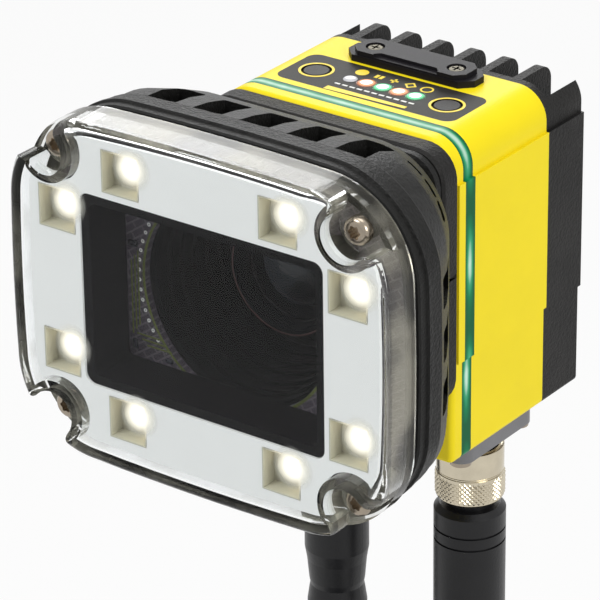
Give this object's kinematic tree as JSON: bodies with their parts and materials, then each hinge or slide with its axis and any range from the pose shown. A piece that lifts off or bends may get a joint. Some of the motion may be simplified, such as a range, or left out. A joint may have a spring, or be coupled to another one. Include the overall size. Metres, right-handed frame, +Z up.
{
  "type": "machine vision camera",
  "caption": "Box camera with a finned rear housing, square adapter, lit ring light under a clear cover, sprung keys on top and plugged cables below.",
  "frame": {"origin": "middle of the four threaded mounting bosses, in the plane of their rear faces", "axes": "+Z up, -Y the way the camera looks, +X to the camera's left-hand side seen from behind"},
  "size_m": [0.0956, 0.1114, 0.2998],
  "materials": {
    "black_cast": "fine-textured black powder coat",
    "yellow_plastic": "satin yellow",
    "green_light": "milky clear, lit green",
    "panel_print": "printed black sheet",
    "lamp_lens": "clear lamp rods, lit",
    "circuit_board": "solder mask",
    "button_black": "satin black",
    "black_plastic": "spark-eroded texture",
    "steel_screw": "bright screws",
    "steel_sheet": "bright sheet",
    "black_anodised": "matt black anodised",
    "lens_glass": "coated",
    "chip": "dark sensor under its cover",
    "brass_post": "bright",
    "black_rubber": "matt",
    "clear_plastic": "clear moulding",
    "white_sheet": "white satin",
    "light_board": "dark solder mask",
    "warm_lamp": "clear optics, lit warm white",
    "black_gloss": "black",
    "grey_plate": "dark grey",
    "nickel": "nickel plated brass",
    "plug_black": "satin black moulding",
    "cable_black": "satin jacket",
    "tie_fabric": "hook and loop"
  },
  "bodies": {
    "camera": {"heat_sink_housing": "black_cast", "body_cover": "yellow_plastic", "light_pipe": "green_light", "control_panel": "panel_print", "status_lamps": "lamp_lens", "key_board": "circuit_board", "card_cover": "black_plastic", "card_cover_screws": "steel_screw", "card_socket": "steel_sheet", "front_plate": "black_cast", "lens_barrel": "black_anodised", "front_lens": "lens_glass", "rear_lens": "lens_glass", "sensor_board": "circuit_board", "image_sensor": "chip", "main_board": "circuit_board", "board_posts": "brass_post", "light_adapter": "black_plastic", "light_hood": "black_plastic", "light_housing": "black_plastic", "light_seal": "black_rubber", "clear_cover": "clear_plastic", "cover_screws": "steel_screw", "reflector": "white_sheet", "light_board": "light_board", "board_pads": "black_rubber", "lamp_optics": "warm_lamp", "window_frame": "black_gloss", "connector_plate": "grey_plate", "plate_screws": "steel_screw", "power_connector": "nickel", "network_connector": "nickel", "power_plug": "plug_black", "network_plug": "plug_black", "power_seal": "black_rubber", "network_seal": "black_rubber", "power_cable": "cable_black", "network_cable": "cable_black", "power_cable_end": "cable_black", "network_cable_end": "cable_black", "power_coil": "cable_black", "network_coil": "cable_black", "power_coil_ties": "tie_fabric", "network_coil_ties": "tie_fabric", "network_jack": "plug_black"},
    "left_button": {"left_button": "button_black"},
    "right_button": {"right_button": "button_black"},
    "power_nut": {"power_nut": "nickel"},
    "network_nut": {"network_nut": "nickel"}
  },
  "joints": [
    {"name": "left_button_press", "type": "slide", "parent": "camera", "child": "left_button", "axis": [0, 0, -1], "range_m": [0, 0.0004], "stiffness_N_per_m": 3000, "springref_m": -0.0003},
    {"name": "right_button_press", "type": "slide", "parent": "camera", "child": "right_button", "axis": [0, 0, -1], "range_m": [0, 0.0004], "stiffness_N_per_m": 3000, "springref_m": -0.0003},
    {"name": "power_nut_turn", "type": "hinge", "parent": "camera", "child": "power_nut", "pos_m": [0.018, -0.024, -0.05], "axis": [0, 0, 1], "continuous": true},
    {"name": "network_nut_turn", "type": "hinge", "parent": "camera", "child": "network_nut", "pos_m": [-0.018, -0.024, -0.05], "axis": [0, 0, 1], "continuous": true}
  ]
}
